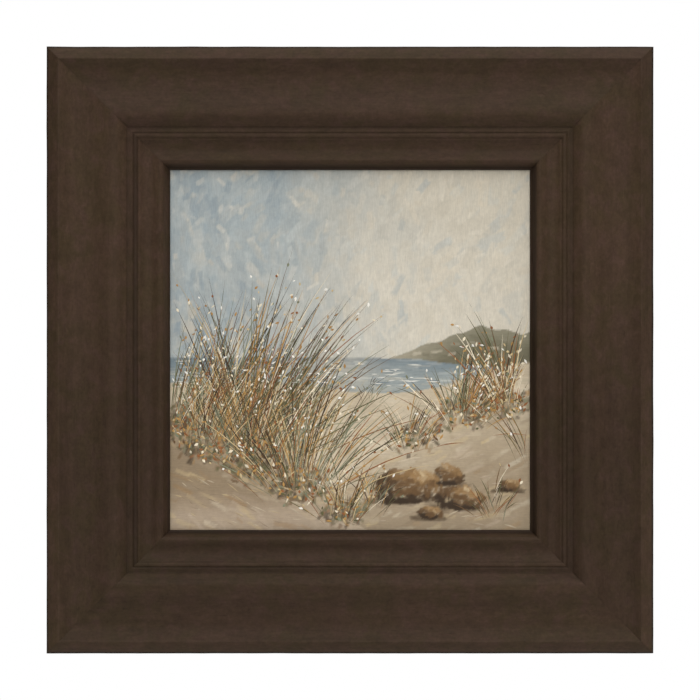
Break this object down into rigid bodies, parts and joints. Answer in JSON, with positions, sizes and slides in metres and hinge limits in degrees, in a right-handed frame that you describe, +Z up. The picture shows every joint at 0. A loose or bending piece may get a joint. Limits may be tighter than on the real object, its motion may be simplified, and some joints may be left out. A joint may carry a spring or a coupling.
{
  "type": "framed canvas picture",
  "caption": "Square painted canvas in a wide dark moulded wooden frame, with its stretcher, clips and hanger behind, to hang on a wall.",
  "frame": {"origin": "on the wall plane, where the hanging nail leaves the wall, under the middle notch of the sawtooth hanger", "axes": "+Z up along the wall, +X to the right as seen from the front, +Y into the wall: the picture faces -Y"},
  "size_m": [0.499, 0.0455, 0.499],
  "materials": {
    "frame_stain": "dark espresso stain, satin, faintly mottled",
    "painted_canvas": "matte brushed paint on woven cotton",
    "stretcher_pine": "bare planed pine",
    "key_beech": "bare sawn beech",
    "staple_steel": "bright galvanised wire and strip",
    "clip_steel": "zinc plated",
    "hanger_brass": "brass plated steel",
    "bumper_rubber": "matte"
  },
  "bodies": {
    "root": {"rail_top": "frame_stain", "rail_right": "frame_stain", "rail_bottom": "frame_stain", "rail_left": "frame_stain", "canvas": "painted_canvas", "stretcher_top": "stretcher_pine", "stretcher_right": "stretcher_pine", "stretcher_bottom": "stretcher_pine", "stretcher_left": "stretcher_pine", "key_top_1": "key_beech", "key_top_2": "key_beech", "key_right_1": "key_beech", "key_right_2": "key_beech", "key_bottom_1": "key_beech", "key_bottom_2": "key_beech", "key_left_1": "key_beech", "key_left_2": "key_beech", "staple_top_1": "staple_steel", "staple_top_2": "staple_steel", "staple_top_3": "staple_steel", "staple_top_4": "staple_steel", "staple_top_5": "staple_steel", "staple_right_1": "staple_steel", "staple_right_2": "staple_steel", "staple_right_3": "staple_steel", "staple_right_4": "staple_steel", "staple_right_5": "staple_steel", "staple_bottom_1": "staple_steel", "staple_bottom_2": "staple_steel", "staple_bottom_3": "staple_steel", "staple_bottom_4": "staple_steel", "staple_bottom_5": "staple_steel", "staple_left_1": "staple_steel", "staple_left_2": "staple_steel", "staple_left_3": "staple_steel", "staple_left_4": "staple_steel", "staple_left_5": "staple_steel", "v_nail_top_1": "staple_steel", "v_nail_top_2": "staple_steel", "v_nail_right_1": "staple_steel", "v_nail_right_2": "staple_steel", "v_nail_bottom_1": "staple_steel", "v_nail_bottom_2": "staple_steel", "v_nail_left_1": "staple_steel", "v_nail_left_2": "staple_steel", "canvas_clip_top": "clip_steel", "canvas_clip_right": "clip_steel", "canvas_clip_bottom": "clip_steel", "canvas_clip_left": "clip_steel", "clip_screw_top": "clip_steel", "clip_screw_right": "clip_steel", "clip_screw_bottom": "clip_steel", "clip_screw_left": "clip_steel", "sawtooth_hanger": "hanger_brass", "hanger_nail_left": "hanger_brass", "hanger_nail_right": "hanger_brass", "bumper_left": "bumper_rubber", "bumper_right": "bumper_rubber"}
  },
  "joints": []
}
